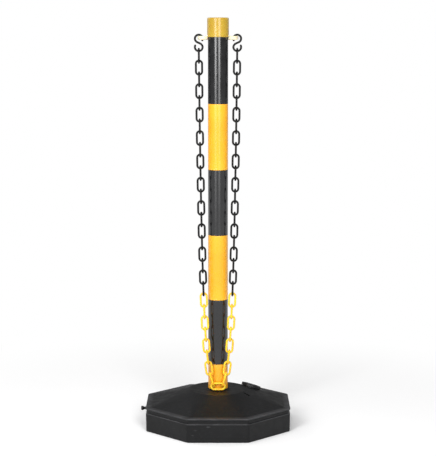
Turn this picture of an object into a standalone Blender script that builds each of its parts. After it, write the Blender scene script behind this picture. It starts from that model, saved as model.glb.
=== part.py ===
"""Plastic chain stanchion: a hollow octagonal base, a post of six push-fit tubes, a head with
two chain ears under a cap, two S-hooks and a chain of 59 links hanging from both ears.

Metres, +Z up. The origin is the centre of the underside. The front is at -Y.
"""

import math

import bmesh
import bpy
from mathutils import Matrix, Vector

GAP = 0.0003  # clearance left between pieces that touch

# Base: a regular octagon with a flat side to the front
BASE_APOTHEM = 0.1525
BASE_CORNER = 0.009
BASE_WALL = 0.003
UNDERSIDE_THICKNESS = 0.0035
WALL_TOP = 0.0385
RIM_TOP = 0.0495
CONE_FOOT_INSET = 0.012
CONE_FOOT_HEIGHT = 0.0504
CONE_STEPS = 7
DISC_RADIUS = 0.060
DISC_HEIGHT = 0.0775
LIP_RADIUS = 0.024
LIP_TOP = 0.0803
WELL_FLOOR = 0.028
RING_OFFSETS = tuple(math.radians(11.25 * step) for step in (-1.5, -0.5, 0.5, 1.5))

# Fill port on the slope of the base, behind and right of the post
PORT_AZIMUTH = math.radians(30)
PORT_DISTANCE = 0.082
PORT_HOLE = 0.0135
BOSS_RADIUS = 0.019
BOSS_HEIGHT = 0.0012
SEAL_THICKNESS = 0.0012
FILL_CAP_RADIUS = 0.021
FILL_CAP_TOP = 0.0062

# Vent slot on the slope of the base, in front and right of the post
VENT_AZIMUTH = math.radians(-32)
VENT_DISTANCE = 0.0715
VENT_LENGTH = 0.015
VENT_WIDTH = 0.0045

# Small plug in the left side wall
PLUG_HEIGHT = 0.0343
PLUG_HOLE = 0.0036
PLUG_KNOB_RADIUS = 0.0045
PLUG_REACH = 0.013

# Post
TUBE_RADIUS = 0.021
TUBE_BORE = 0.0179
TUBE_LENGTH = 0.138
SPIGOT_LENGTH = 0.028
SPIGOT_BORE = 0.0152
LOWEST_JOINT = 0.134
TUBE_COUNT = 6
ROUND_SIDES = 28

# Head
CAP_RADIUS = 0.0225
CAP_HEIGHT = 0.040
CAP_SPIGOT_LENGTH = 0.025
SKIRT_OVERLAP = 0.0005
HUB_THICKNESS = 0.0025
EAR_HEIGHT = 0.008
EAR_BAR = 0.0044
EAR_RADIUS = 0.011
HOOK_REACH = 0.040  # from the post's axis to the middle of the ear's outer bar
NOTCH_WIDTH = 0.0152

# S-hooks and chain
HOOK_WIRE = 0.0044
HOOK_LOOP = 0.008
HOOK_LENGTH = 0.038
LINK_WIRE = 0.0042
LINK_BOW = 0.0064
LINK_PITCH = 0.0244
BLACK_LINKS = 21
YELLOW_LINKS = 17
LINK_COUNT = 2 * BLACK_LINKS + YELLOW_LINKS
FUSE_SHIFT = 0.00045  # each link of a joined pair moves out by this, so that the two bows meet
CHAIN_CLEARANCE = 0.0285  # distance of the lowest link's plane in front of the post's axis

# Heights that follow from the dimensions above
TUBE_TOP = LOWEST_JOINT + (TUBE_COUNT - 1) * TUBE_LENGTH + SKIRT_OVERLAP
CAP_BOTTOM = TUBE_TOP - SKIRT_OVERLAP
CAP_TOP = CAP_BOTTOM + CAP_HEIGHT
HUB_BOTTOM = TUBE_TOP + GAP
HUB_TOP = HUB_BOTTOM + HUB_THICKNESS
EAR_LEVEL = CAP_BOTTOM - 0.0018
EAR_DISTANCE = HOOK_REACH - (EAR_RADIUS - EAR_BAR / 2)
HOOK_PIVOT = EAR_LEVEL + EAR_HEIGHT / 2 + GAP + HOOK_WIRE / 2
LINK_HALF = (LINK_PITCH + LINK_WIRE + GAP) / 2  # link centre to the middle of its bow wire
LINK_STRAIGHT = LINK_HALF - LINK_BOW
HOOK_DROP = HOOK_LENGTH - HOOK_WIRE  # from the upper wire to the lower wire of a hook
TUBE_BLACK = (0.028, 0.028, 0.031, 1.0)
BASE_BLACK = (0.018, 0.018, 0.020, 1.0)
WIRE_BLACK = (0.010, 0.010, 0.011, 1.0)
SIGNAL_YELLOW = (0.955, 0.540, 0.035, 1.0)
CAP_YELLOW = (0.740, 0.480, 0.045, 1.0)
EAR_CREAM = (0.600, 0.490, 0.250, 1.0)
SEAL_GREY = (0.060, 0.060, 0.060, 1.0)


def clear_scene():
    for old in list(bpy.data.objects):
        bpy.data.objects.remove(old, do_unlink=True)


def plastic(name, colour, roughness):
    material = bpy.data.materials.new(name)
    material.use_nodes = True
    shader = material.node_tree.nodes["Principled BSDF"]
    shader.inputs["Base Color"].default_value = colour
    shader.inputs["Roughness"].default_value = roughness
    shader.inputs["Metallic"].default_value = 0.0
    return material


def make_mesh(name, rings, cap_ends, smooth_angle=35.0):
    """A skin over rings with the same number of points; cap_ends closes it, else it loops."""
    bm = bmesh.new()
    loops = [[bm.verts.new(point) for point in ring] for ring in rings]
    pairs = list(zip(loops, loops[1:]))
    if not cap_ends:
        pairs.append((loops[-1], loops[0]))
    for lower, upper in pairs:
        for i in range(len(lower)):
            j = (i + 1) % len(lower)
            bm.faces.new((lower[i], lower[j], upper[j], upper[i]))
    if cap_ends:
        bm.faces.new(reversed(loops[0]))
        bm.faces.new(loops[-1])
    bmesh.ops.recalc_face_normals(bm, faces=bm.faces)
    mesh = bpy.data.meshes.new(name)
    bm.to_mesh(mesh)
    bm.free()
    mesh.shade_smooth()
    mesh.set_sharp_from_angle(angle=math.radians(smooth_angle))
    return mesh


def add_object(name, mesh, material=None, parent=None, matrix=None):
    piece = bpy.data.objects.new(name, mesh)
    bpy.context.scene.collection.objects.link(piece)
    if material and not mesh.materials:
        mesh.materials.append(material)
    if parent:
        piece.parent = parent
    if matrix:
        piece.matrix_local = matrix
    return piece


def add_empty(name, matrix):
    return add_object(name, None, matrix=matrix)


def add_boolean(piece, operation, tool):
    tool.hide_render = True
    tool.display_type = "WIRE"
    modifier = piece.modifiers.new(tool.name, "BOOLEAN")
    modifier.operation = operation
    modifier.object = tool
    modifier.solver = "EXACT"


def circle(radius, z, sides=ROUND_SIDES):
    turn = 2 * math.pi / sides
    return [
        Vector((radius * math.cos(turn * i), radius * math.sin(turn * i), z)) for i in range(sides)
    ]


def turned(name, profile, cap_ends):
    """A turned solid from (radius, z) points."""
    return make_mesh(name, [circle(radius, z) for radius, z in profile], cap_ends)


def box_mesh(name, low, high):
    def corners(z):
        return [
            Vector((low[0], low[1], z)),
            Vector((high[0], low[1], z)),
            Vector((high[0], high[1], z)),
            Vector((low[0], high[1], z)),
        ]

    return make_mesh(name, [corners(low[2]), corners(high[2])], True)


def wire_section(point, outward, across, radius, sides):
    turn = 2 * math.pi / sides
    return [
        point + radius * (math.cos(turn * i) * outward + math.sin(turn * i) * across)
        for i in range(sides)
    ]


# ---------------------------------------------------------------- base


def octagon_ring(apothem, corner, z):
    """A rounded octagon; with corner equal to apothem it is a circle."""
    points = []
    for side in range(8):
        azimuth = math.radians(22.5 + 45 * side)
        reach = (apothem - corner) / math.cos(math.radians(22.5))
        centre = Vector((reach * math.cos(azimuth), reach * math.sin(azimuth), z))
        for offset in RING_OFFSETS:
            angle = azimuth + offset
            points.append(centre + corner * Vector((math.cos(angle), math.sin(angle), 0)))
    return points


def cone_rings(foot, foot_height, top, top_height, corner):
    """The slope from the octagonal rim up to the round disc."""
    rings = []
    for step in range(CONE_STEPS + 1):
        t = step / CONE_STEPS
        apothem = foot + (top - foot) * t
        roundness = t * t * (3 - 2 * t)
        z = foot_height + (top_height - foot_height) * t
        rings.append(octagon_ring(apothem, corner + (apothem - corner) * roundness, z))
    return rings


def base_outside():
    edge = [
        (0.0050, 0.0),
        (0.0022, 0.0012),
        (0.0011, 0.0045),
        (0.0006, WALL_TOP),
        (0.0024, WALL_TOP + 0.0015),
        (0.0023, RIM_TOP - 0.0034),
        (0.0002, RIM_TOP - 0.0022),
        (0.0, RIM_TOP - 0.0011),
        (0.0010, RIM_TOP - 0.0002),
        (0.0040, RIM_TOP + 0.0002),
    ]
    well = TUBE_RADIUS + GAP
    centre = [
        (DISC_RADIUS, DISC_HEIGHT),
        (LIP_RADIUS + 0.0008, DISC_HEIGHT),
        (LIP_RADIUS, LIP_TOP - 0.0006),
        (LIP_RADIUS - 0.0007, LIP_TOP),
        (well + 0.0007, LIP_TOP),
        (well, LIP_TOP - 0.0006),
        (well, WELL_FLOOR),
    ]
    rings = [octagon_ring(BASE_APOTHEM - inset, BASE_CORNER, z) for inset, z in edge]
    rings += cone_rings(
        BASE_APOTHEM - CONE_FOOT_INSET,
        CONE_FOOT_HEIGHT,
        DISC_RADIUS + 0.003,
        DISC_HEIGHT - 0.0007,
        BASE_CORNER,
    )
    rings += [octagon_ring(radius, radius, z) for radius, z in centre]
    return make_mesh("base_shell", rings, True, 25.0)


def base_cavity():
    corner = BASE_CORNER - BASE_WALL
    edge = [
        (0.0060, UNDERSIDE_THICKNESS),
        (0.0048, UNDERSIDE_THICKNESS + 0.0020),
        (0.0046, RIM_TOP - 0.0050),
        (0.0070, RIM_TOP - 0.0033),
    ]
    sleeve = TUBE_RADIUS + GAP + BASE_WALL
    centre = [
        (DISC_RADIUS, DISC_HEIGHT - BASE_WALL),
        (sleeve + 0.0015, DISC_HEIGHT - BASE_WALL),
        (sleeve, DISC_HEIGHT - BASE_WALL - 0.0015),
        (sleeve, WELL_FLOOR - BASE_WALL),
    ]
    rings = [octagon_ring(BASE_APOTHEM - inset, corner, z) for inset, z in edge]
    rings += cone_rings(
        BASE_APOTHEM - CONE_FOOT_INSET - 0.001,
        CONE_FOOT_HEIGHT - BASE_WALL,
        DISC_RADIUS + 0.003,
        DISC_HEIGHT - BASE_WALL - 0.0007,
        corner,
    )
    rings += [octagon_ring(radius, radius, z) for radius, z in centre]
    return make_mesh("base_cavity", rings, True)


def slope_matrix(azimuth, distance):
    """A frame on the slope of the base: Z stands square on it and X points down it."""
    run = BASE_APOTHEM - CONE_FOOT_INSET - DISC_RADIUS - 0.003
    rise = DISC_HEIGHT - 0.0007 - CONE_FOOT_HEIGHT
    height = CONE_FOOT_HEIGHT + rise * (BASE_APOTHEM - CONE_FOOT_INSET - distance) / run
    lean = math.atan2(rise, run)
    turn = Matrix.Rotation(azimuth, 4, "Z")
    return turn @ Matrix.Translation((distance, 0, height)) @ Matrix.Rotation(lean, 4, "Y")


def plug_matrix():
    """The frame of the side plug: its Z axis points out of the left wall."""
    wall = BASE_APOTHEM - 0.0006
    return Matrix.Translation((-wall, 0, PLUG_HEIGHT)) @ Matrix.Rotation(-math.pi / 2, 4, "Y")


def build_base():
    base = add_object("base_shell", base_outside(), plastic("base_plastic", BASE_BLACK, 0.45))
    cavity = add_object("base_cavity", base_cavity())
    port = add_empty("fill_port_axis", slope_matrix(PORT_AZIMUTH, PORT_DISTANCE))
    vent = add_empty("vent_axis", slope_matrix(VENT_AZIMUTH, VENT_DISTANCE))
    plug = add_empty("side_plug_axis", plug_matrix())
    boss = add_object(
        "port_boss", turned("port_boss", [(BOSS_RADIUS, -0.0022), (BOSS_RADIUS, BOSS_HEIGHT)], True),
        parent=port,
    )
    port_hole = add_object(
        "port_hole", turned("port_hole", [(PORT_HOLE, -0.012), (PORT_HOLE, 0.006)], True),
        parent=port,
    )
    half_length, half_width = VENT_LENGTH / 2, VENT_WIDTH / 2
    slot = box_mesh(
        "vent_slot", (-half_length, -half_width, -0.006), (half_length, half_width, 0.004)
    )
    vent_slot = add_object("vent_slot", slot, parent=vent)
    plug_hole = add_object(
        "plug_hole", turned("plug_hole", [(PLUG_HOLE, -0.008), (PLUG_HOLE, 0.004)], True),
        parent=plug,
    )
    add_boolean(base, "DIFFERENCE", cavity)
    add_boolean(base, "UNION", boss)
    add_boolean(base, "DIFFERENCE", port_hole)
    add_boolean(base, "DIFFERENCE", vent_slot)
    add_boolean(base, "DIFFERENCE", plug_hole)
    return port, plug


def build_fill_cap(port):
    under = BOSS_HEIGHT + SEAL_THICKNESS + 2 * GAP
    stem = PORT_HOLE - GAP
    profile = [
        (0.0118, under + 0.0005),
        (0.0118, -0.009),
        (stem, -0.009),
        (stem, under),
        (BOSS_RADIUS + 0.0004, under),
        (BOSS_RADIUS + 0.0004, 0.0013),
        (FILL_CAP_RADIUS - 0.0004, 0.0013),
        (FILL_CAP_RADIUS, 0.0017),
        (FILL_CAP_RADIUS, FILL_CAP_TOP - 0.0007),
        (FILL_CAP_RADIUS - 0.0007, FILL_CAP_TOP),
        (FILL_CAP_RADIUS - 0.0024, FILL_CAP_TOP),
        (FILL_CAP_RADIUS - 0.0032, FILL_CAP_TOP - 0.0014),
    ]
    material = plastic("fill_cap_plastic", BASE_BLACK, 0.40)
    cap = add_object("fill_cap", turned("fill_cap", profile, True), material, port)
    grip = box_mesh("fill_cap_grip", (-0.013, -0.0025, 0.0040), (0.013, 0.0025, 0.0059))
    add_boolean(cap, "UNION", add_object("fill_cap_grip", grip, parent=port))

    low = BOSS_HEIGHT + GAP
    inner, outer = PORT_HOLE, BOSS_RADIUS - 0.0002
    ring = [(inner, low), (outer, low), (outer, low + SEAL_THICKNESS), (inner, low + SEAL_THICKNESS)]
    rubber = plastic("seal_rubber", SEAL_GREY, 0.7)
    add_object("fill_cap_seal", turned("fill_cap_seal", ring, False), rubber, port)


def build_side_plug(plug):
    stem = PLUG_HOLE - GAP
    profile = [
        (stem - 0.0010, -0.0085),
        (stem, -0.0070),
        (stem, GAP),
        (0.0041, GAP),
        (0.0041, 0.0012),
        (0.0037, 0.0017),
        (0.0030, 0.0021),
        (0.0030, 0.0072),
        (PLUG_KNOB_RADIUS - 0.0007, 0.0080),
        (PLUG_KNOB_RADIUS, 0.0093),
        (PLUG_KNOB_RADIUS, 0.0112),
        (PLUG_KNOB_RADIUS - 0.0008, 0.0124),
        (PLUG_KNOB_RADIUS - 0.0020, PLUG_REACH),
    ]
    rings = [circle(radius, z, 16) for radius, z in profile]
    material = plastic("side_plug_rubber", BASE_BLACK, 0.55)
    add_object("side_plug", make_mesh("side_plug", rings, True), material, plug)


# ---------------------------------------------------------------- post


def tube_profile():
    """One tube with a spigot below its shoulder, from its shoulder at z = 0."""
    edge = 0.0004
    spigot = TUBE_BORE - GAP
    return [
        (TUBE_RADIUS - edge, 0),
        (TUBE_RADIUS, edge),
        (TUBE_RADIUS, TUBE_LENGTH - GAP - edge),
        (TUBE_RADIUS - edge, TUBE_LENGTH - GAP),
        (TUBE_BORE, TUBE_LENGTH - GAP),
        (TUBE_BORE, 0.006),
        (SPIGOT_BORE, 0.003),
        (SPIGOT_BORE, -SPIGOT_LENGTH),
        (spigot - 0.0008, -SPIGOT_LENGTH),
        (spigot, -SPIGOT_LENGTH + 0.002),
        (spigot, 0),
    ]


def lowest_tube_profile():
    edge = 0.0004
    bottom = WELL_FLOOR + GAP
    return [
        (TUBE_RADIUS - edge, bottom),
        (TUBE_RADIUS, bottom + edge),
        (TUBE_RADIUS, LOWEST_JOINT - GAP - edge),
        (TUBE_RADIUS - edge, LOWEST_JOINT - GAP),
        (TUBE_BORE, LOWEST_JOINT - GAP),
        (TUBE_BORE, bottom),
    ]


def build_post():
    yellow = (SIGNAL_YELLOW, 0.38)
    black = (TUBE_BLACK, 0.32)
    colour, roughness = yellow
    material = plastic("tube_plastic_1", colour, roughness)
    add_object("post_tube_1", turned("post_tube_1", lowest_tube_profile(), False), material)
    for number in range(2, TUBE_COUNT + 1):
        colour, roughness = black if number % 2 == 0 else yellow
        name = f"post_tube_{number}"
        profile = tube_profile()
        if number == TUBE_COUNT:
            rise = GAP + SKIRT_OVERLAP
            profile = [(r, z + rise if z > TUBE_LENGTH / 2 else z) for r, z in profile]
        mesh = turned(name, profile, False)
        shoulder = LOWEST_JOINT + (number - 2) * TUBE_LENGTH
        place = Matrix.Translation((0, 0, shoulder))
        add_object(name, mesh, plastic(f"tube_plastic_{number}", colour, roughness), matrix=place)


# ---------------------------------------------------------------- head


def ear_mesh(side):
    """An eyelet with an upright stadium section, centred on its own vertical axis."""
    bar = EAR_BAR / 2
    rise = EAR_HEIGHT / 2 - bar
    middle = EAR_RADIUS - bar
    section = []
    for step in range(10):
        angle = 2 * math.pi * step / 10
        lift = rise if math.sin(angle) >= 0 else -rise
        section.append((middle + bar * math.cos(angle), lift + bar * math.sin(angle)))
    rings = [circle(radius, z, 24) for radius, z in section]
    return make_mesh(f"ear_{side}", rings, False)


def build_ring():
    hub = [
        (TUBE_BORE, HUB_BOTTOM),
        (TUBE_RADIUS - GAP, HUB_BOTTOM),
        (TUBE_RADIUS - GAP, HUB_TOP),
        (TUBE_BORE, HUB_TOP),
    ]
    material = plastic("ring_plastic", EAR_CREAM, 0.5)
    ring = add_object("chain_ring", turned("chain_ring", hub, False), material)
    clearance = TUBE_RADIUS + 0.0005
    shaft = [(clearance, EAR_LEVEL - EAR_HEIGHT), (clearance, HUB_BOTTOM + 0.0002)]
    shaft_cut = add_object("post_clearance", turned("post_clearance", shaft, True))
    for name, side in (("left", -1), ("right", 1)):
        place = Matrix.Translation((side * EAR_DISTANCE, 0, EAR_LEVEL))
        ear = add_object(f"ear_{name}", ear_mesh(name), matrix=place)
        add_boolean(ear, "DIFFERENCE", shaft_cut)
        near = side * (TUBE_RADIUS - 0.0016)
        far = side * (EAR_DISTANCE - EAR_RADIUS + EAR_BAR)
        low = (min(near, far), -0.0045, HUB_BOTTOM)
        high = (max(near, far), 0.0045, HUB_TOP)
        neck = add_object(f"neck_{name}", box_mesh(f"neck_{name}", low, high))
        add_boolean(ring, "UNION", neck)
        add_boolean(ring, "UNION", ear)


def build_cap():
    shoulder = HUB_TOP + GAP
    spigot = TUBE_BORE - GAP
    profile = [
        (SPIGOT_BORE, CAP_TOP - 0.003),
        (SPIGOT_BORE, CAP_BOTTOM - CAP_SPIGOT_LENGTH),
        (spigot - 0.0008, CAP_BOTTOM - CAP_SPIGOT_LENGTH),
        (spigot, CAP_BOTTOM - CAP_SPIGOT_LENGTH + 0.002),
        (spigot, shoulder),
        (TUBE_RADIUS + GAP, shoulder),
        (TUBE_RADIUS + GAP, CAP_BOTTOM),
        (CAP_RADIUS - 0.0003, CAP_BOTTOM),
        (CAP_RADIUS, CAP_BOTTOM + 0.0003),
        (CAP_RADIUS, CAP_TOP - 0.0030),
        (CAP_RADIUS - 0.0005, CAP_TOP - 0.0016),
        (CAP_RADIUS - 0.0018, CAP_TOP - 0.0006),
        (0.0160, CAP_TOP),
    ]
    cap = add_object("top_cap", turned("top_cap", profile, True), plastic("cap", CAP_YELLOW, 0.4))
    half = NOTCH_WIDTH / 2
    for name, side in (("left", -1), ("right", 1)):
        near, far = side * (TUBE_RADIUS - 0.003), side * (CAP_RADIUS + 0.003)
        low = (min(near, far), -half, CAP_BOTTOM - 0.002)
        high = (max(near, far), half, shoulder + 0.0004)
        notch = add_object(f"notch_{name}", box_mesh(f"notch_{name}", low, high))
        add_boolean(cap, "DIFFERENCE", notch)


# ---------------------------------------------------------------- hooks and chain


def hook_path():
    """The S of a hook in its own plane: (x, z, normal angle), from its upper free end.

    x grows towards the post, z is measured from the middle of the upper wire. Each loop runs
    from its free end to the point where the straight stem meets it as a tangent."""
    spacing = HOOK_DROP - 2 * HOOK_LOOP
    lean = math.acos(2 * HOOK_LOOP / spacing)
    start, end, steps = math.radians(-40), 1.5 * math.pi - lean, 12
    upper = []
    for step in range(steps + 1):
        angle = start + (end - start) * step / steps
        upper.append((HOOK_LOOP * math.cos(angle), HOOK_LOOP * math.sin(angle) - HOOK_LOOP, angle))
    middle = -HOOK_DROP / 2
    lower = [(-x, 2 * middle - z, angle) for x, z, angle in reversed(upper)]
    return upper, lower


def hook_mesh(name, side):
    upper, lower = hook_path()
    rings = []
    for x, z, angle in upper + lower:
        normal = Vector((math.cos(angle), 0, math.sin(angle)))
        rings.append(wire_section(Vector((x, 0, z)), normal, Vector((0, 1, 0)), HOOK_WIRE / 2, 8))
    for ring in rings:
        for point in ring:
            point.x = side * (HOOK_REACH - point.x)
    return make_mesh(name, rings, True, 50.0)


def link_mesh(name):
    """One chain link: long axis along X, flat in XZ, centred on the origin."""
    rings = []
    for end in (1, -1):
        for step in range(5):
            angle = math.radians(-90 + 45 * step) + (0 if end > 0 else math.pi)
            outward = Vector((math.cos(angle), 0, math.sin(angle)))
            point = Vector((end * LINK_STRAIGHT, 0, 0)) + LINK_BOW * outward
            rings.append(wire_section(point, outward, Vector((0, 1, 0)), LINK_WIRE / 2, 6))
    return make_mesh(name, rings, False, 50.0)


def chain_steps(steepness):
    """The chain as straight steps (length, slope angle) from the left hook to the right one.

    Links lie flat in the plane of the chain and across it by turns. A link that lies flat turns
    about the middles of its bows, a link that lies across turns about the wire of its bows.
    The slopes are those of a hanging chain of equal links."""
    middle = (LINK_COUNT - 1) / 2
    hook_step = HOOK_LOOP - (HOOK_WIRE + LINK_WIRE) / 2 - GAP
    bow_step = LINK_BOW - LINK_WIRE - GAP
    steps = [(hook_step, math.atan(-(middle + 0.5) * steepness))]
    for number in range(LINK_COUNT):
        k = number - middle
        across = number % 2 == 0
        steps.append((2 * (LINK_HALF if across else LINK_STRAIGHT), math.atan(k * steepness)))
        last = number == LINK_COUNT - 1
        steps.append((hook_step if last else bow_step, math.atan((k + 0.5) * steepness)))
    return steps


def chain_layout():
    """(centre x, centre z, slope angle) of each link, in the plane of the chain."""
    low, high = 0.1, 50.0
    for _ in range(60):
        trial = (low + high) / 2
        span = sum(length * math.cos(angle) for length, angle in chain_steps(trial))
        if span > 2 * HOOK_REACH:
            low = trial
        else:
            high = trial
    x, z = -HOOK_REACH, HOOK_LOOP
    layout = []
    for index, (length, angle) in enumerate(chain_steps(low)):
        if index % 2 == 1:
            middle = length / 2
            layout.append((x + middle * math.cos(angle), z + middle * math.sin(angle), angle))
        x += length * math.cos(angle)
        z += length * math.sin(angle)
    return layout


def link_matrix(number, place, shift=0.0):
    x, z, angle = place
    roll = math.pi / 2 if number % 2 == 0 else 0.0
    turn = Matrix.Rotation(-angle, 4, "Y")
    return Matrix.Translation((x, 0, z)) @ turn @ Matrix.Translation((shift, 0, 0)) @ Matrix.Rotation(
        roll, 4, "X"
    )


def build_links(chain):
    layout = chain_layout()
    first_yellow, after_yellow = BLACK_LINKS, BLACK_LINKS + YELLOW_LINKS
    black_pairs = [(n, n + 1) for n in range(0, first_yellow - 1, 2)]
    black_pairs += [(n, n + 1) for n in range(after_yellow + 1, LINK_COUNT, 2)]
    singles = range(first_yellow - 1, after_yellow + 1)
    for number in singles:
        yellow = first_yellow <= number < after_yellow
        name = f"chain_link_{number + 1:02d}"
        material = plastic(f"{name}_plastic", SIGNAL_YELLOW if yellow else WIRE_BLACK, 0.45)
        add_object(name, link_mesh(name), material, chain, link_matrix(number, layout[number]))
    for one, two in black_pairs:
        name = f"chain_links_{one + 1:02d}_{two + 1:02d}"
        material = plastic(f"{name}_plastic", WIRE_BLACK, 0.45)
        pair = add_object(
            name, link_mesh(name), material, chain, link_matrix(one, layout[one], -FUSE_SHIFT)
        )
        partner = add_object(
            f"{name}_partner", link_mesh(f"{name}_partner"), None, chain,
            link_matrix(two, layout[two], FUSE_SHIFT),
        )
        add_boolean(pair, "UNION", partner)


def build_chain():
    lowest = min(z for _, z, _ in chain_layout())
    lean = math.asin(CHAIN_CLEARANCE / (HOOK_DROP - lowest))
    hooks = Matrix.Translation((0, 0, HOOK_PIVOT)) @ Matrix.Rotation(-lean, 4, "X")
    hook_axis = add_empty("hook_swing_axis", hooks)
    for name, side in (("s_hook_left", -1), ("s_hook_right", 1)):
        material = plastic(f"{name}_plastic", WIRE_BLACK, 0.4)
        add_object(name, hook_mesh(name, side), material, hook_axis)
    chain_axis = add_empty("chain_swing_axis", hooks @ Matrix.Translation((0, 0, -HOOK_DROP)))
    build_links(chain_axis)


def main():
    clear_scene()
    port, plug = build_base()
    build_fill_cap(port)
    build_side_plug(plug)
    build_post()
    build_ring()
    build_cap()
    build_chain()
    bpy.context.view_layer.update()


main()
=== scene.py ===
"""Looks of the plastic chain stanchion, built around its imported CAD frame.

Metres, +Z up, in the CAD's frame: the origin is the centre of the underside, the front is at -Y.
Each CAD node is replaced by a finer piece of the same size, with a procedural material.
"""

import math

import bmesh
import bpy
from mathutils import Matrix, Vector


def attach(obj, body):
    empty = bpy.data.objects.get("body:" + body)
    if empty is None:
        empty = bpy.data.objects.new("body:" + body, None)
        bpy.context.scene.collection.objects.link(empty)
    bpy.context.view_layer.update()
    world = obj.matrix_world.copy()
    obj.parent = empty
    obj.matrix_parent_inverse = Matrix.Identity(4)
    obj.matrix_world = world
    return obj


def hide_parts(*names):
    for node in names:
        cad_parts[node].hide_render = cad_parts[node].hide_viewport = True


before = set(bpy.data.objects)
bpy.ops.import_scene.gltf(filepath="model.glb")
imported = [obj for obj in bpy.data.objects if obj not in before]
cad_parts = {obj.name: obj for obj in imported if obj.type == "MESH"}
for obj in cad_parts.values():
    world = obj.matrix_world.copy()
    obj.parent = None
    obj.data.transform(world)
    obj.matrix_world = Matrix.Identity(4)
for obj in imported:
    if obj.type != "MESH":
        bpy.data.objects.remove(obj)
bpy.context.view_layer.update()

# ---------------------------------------------------------------- sizes, as in the CAD source

GAP = 0.0003  # clearance left between pieces that touch

# Base
BASE_APOTHEM = 0.1525
BASE_CORNER = 0.009
BASE_WALL = 0.003
UNDERSIDE_THICKNESS = 0.0035
WALL_TOP = 0.0385
RIM_TOP = 0.0495
CONE_FOOT_INSET = 0.012
CONE_FOOT_HEIGHT = 0.0504
DISC_RADIUS = 0.060
DISC_HEIGHT = 0.0775
LIP_RADIUS = 0.024
LIP_TOP = 0.0803
WELL_FLOOR = 0.028

# Fill port, fill cap and vent slot on the slope of the base
PORT_AZIMUTH = math.radians(30)
PORT_DISTANCE = 0.082
PORT_HOLE = 0.0135
BOSS_RADIUS = 0.019
BOSS_HEIGHT = 0.0012
SEAL_THICKNESS = 0.0012
FILL_CAP_RADIUS = 0.021
FILL_CAP_TOP = 0.0062
FILL_CAP_SKIRT = 0.0013
FILL_STEM_BORE = 0.0118
FILL_STEM_DEPTH = 0.009
GRIP_LOW = (-0.013, -0.0025, 0.0040)
GRIP_HIGH = (0.013, 0.0025, 0.0059)
VENT_AZIMUTH = math.radians(-32)
VENT_DISTANCE = 0.0715
VENT_LENGTH = 0.015
VENT_WIDTH = 0.0045

# Small plug in the left side wall
PLUG_HEIGHT = 0.0343
PLUG_HOLE = 0.0036
PLUG_KNOB_RADIUS = 0.0045
PLUG_REACH = 0.013
PLUG_FLANGE_RADIUS = 0.0041
PLUG_STALK_RADIUS = 0.0030

# Post
TUBE_RADIUS = 0.021
TUBE_BORE = 0.0179
TUBE_LENGTH = 0.138
SPIGOT_LENGTH = 0.028
SPIGOT_BORE = 0.0152
LOWEST_JOINT = 0.134
TUBE_COUNT = 6

# Head
CAP_RADIUS = 0.0225
CAP_HEIGHT = 0.040
CAP_SPIGOT_LENGTH = 0.025
SKIRT_OVERLAP = 0.0005
HUB_THICKNESS = 0.0025
EAR_HEIGHT = 0.008
EAR_BAR = 0.0044
EAR_RADIUS = 0.011
HOOK_REACH = 0.040  # from the post's axis to the middle of the ear's outer bar
NOTCH_WIDTH = 0.0152

# S-hooks and chain
HOOK_WIRE = 0.0044
HOOK_LOOP = 0.008
HOOK_LENGTH = 0.038
LINK_WIRE = 0.0042
LINK_BOW = 0.0064
LINK_PITCH = 0.0244
BLACK_LINKS = 21
YELLOW_LINKS = 17
LINK_COUNT = 2 * BLACK_LINKS + YELLOW_LINKS
CHAIN_CLEARANCE = 0.0285  # distance of the lowest link's plane in front of the post's axis

# Heights that follow from the sizes above
TUBE_TOP = LOWEST_JOINT + (TUBE_COUNT - 1) * TUBE_LENGTH + SKIRT_OVERLAP
CAP_BOTTOM = TUBE_TOP - SKIRT_OVERLAP
CAP_TOP = CAP_BOTTOM + CAP_HEIGHT
HUB_BOTTOM = TUBE_TOP + GAP
HUB_TOP = HUB_BOTTOM + HUB_THICKNESS
EAR_LEVEL = CAP_BOTTOM - 0.0018
EAR_DISTANCE = HOOK_REACH - (EAR_RADIUS - EAR_BAR / 2)
HOOK_PIVOT = EAR_LEVEL + EAR_HEIGHT / 2 + GAP + HOOK_WIRE / 2
LINK_HALF = (LINK_PITCH + LINK_WIRE + GAP) / 2  # link centre to the middle of its bow wire
LINK_STRAIGHT = LINK_HALF - LINK_BOW
HOOK_DROP = HOOK_LENGTH - HOOK_WIRE  # from the upper wire to the lower wire of a hook

# Fineness and small roundings that only the visible pieces have
ROUND_SIDES = 96
FILL_CAP_SIDES = 216
GRIP_RIBS = 36
GRIP_RIB_DEPTH = 0.0004
CONE_STEPS = 78
WALL_STEPS = 12
WALL_SINK = 0.00035
MOULD_RIPPLE = 0.00007
MOULD_SEAM = 0.00012
TUBE_EDGE = 0.0006
FINE_EDGE = 0.0004
HAIR_EDGE = 0.0003

# Camera, lights and floor
CAMERA_PLACE = (0.0, -3.05, 0.83)
CAMERA_AIM = (0.0, 0.0, 0.424)
LENS = 115.0
WORLD_STRENGTH = 0.24
STRIP_DISTANCE = 2.2
STRIP_WIDTH = 0.66
STRIP_AZIMUTHS = (("left", -27.0, 1.0), ("right", 15.0, 0.9))  # name, azimuth, share of radiance
STRIP_LEVELS = (("high", 0.75, 2.3, 13.0), ("low", 0.30, 0.75, 3.0))  # name, low, high, radiance
FLOOR_LEVEL = -0.0003
FLOOR_RADII = (0.05, 0.4, 0.8, 1.4, 2.4, 4.0, 9.0)
FLOOR_FADE = (0.18, 0.95)  # the floor turns from lit paper to plain white between these radii

# ---------------------------------------------------------------- mesh tools


def smooth(mesh, angle):
    mesh.shade_smooth()
    mesh.set_sharp_from_angle(angle=math.radians(angle))


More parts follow.
